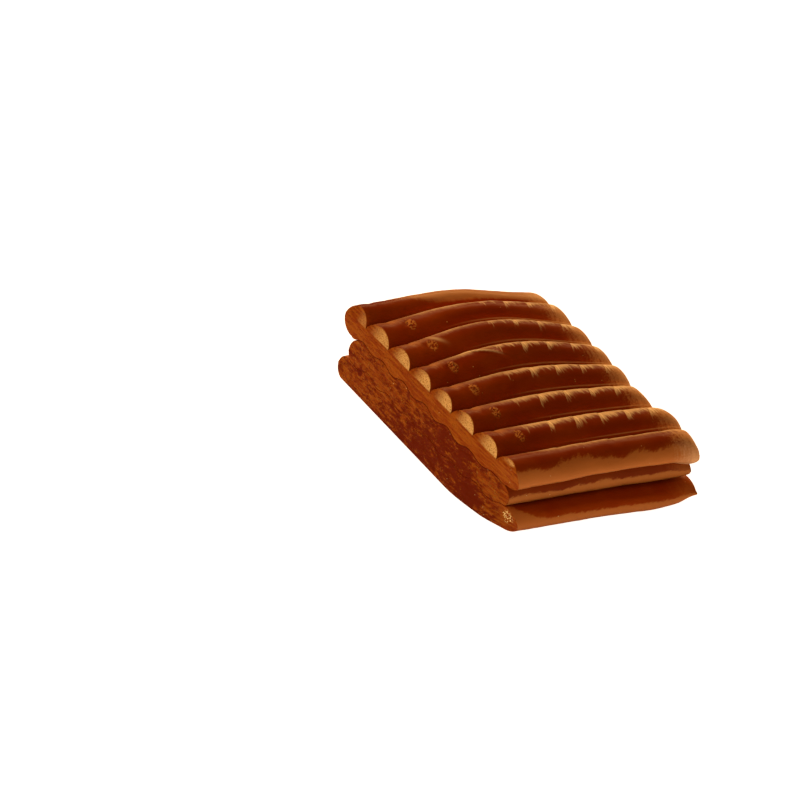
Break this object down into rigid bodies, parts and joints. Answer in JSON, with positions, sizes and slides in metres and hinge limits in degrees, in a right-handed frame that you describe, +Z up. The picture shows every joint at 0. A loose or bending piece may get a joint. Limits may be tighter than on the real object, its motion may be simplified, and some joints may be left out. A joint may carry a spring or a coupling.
{
  "type": "caramel belt candy",
  "caption": "Short thick piece of soft caramel made of ribbed belts pressed together, cut on the slant at both ends.",
  "frame": {"origin": "under the middle of the candy, on the surface it lies on", "axes": "+X along the ropes, +Y across them towards the back side, +Z up through the belts"},
  "size_m": [0.028, 0.026, 0.0106],
  "materials": {
    "caramel_top": "soft glossy brown caramel",
    "caramel_middle": "soft glossy brown caramel",
    "caramel_bottom": "soft glossy brown caramel"
  },
  "bodies": {
    "root": {"belt_top": "caramel_top", "belt_middle": "caramel_middle", "belt_bottom": "caramel_bottom"}
  },
  "joints": []
}
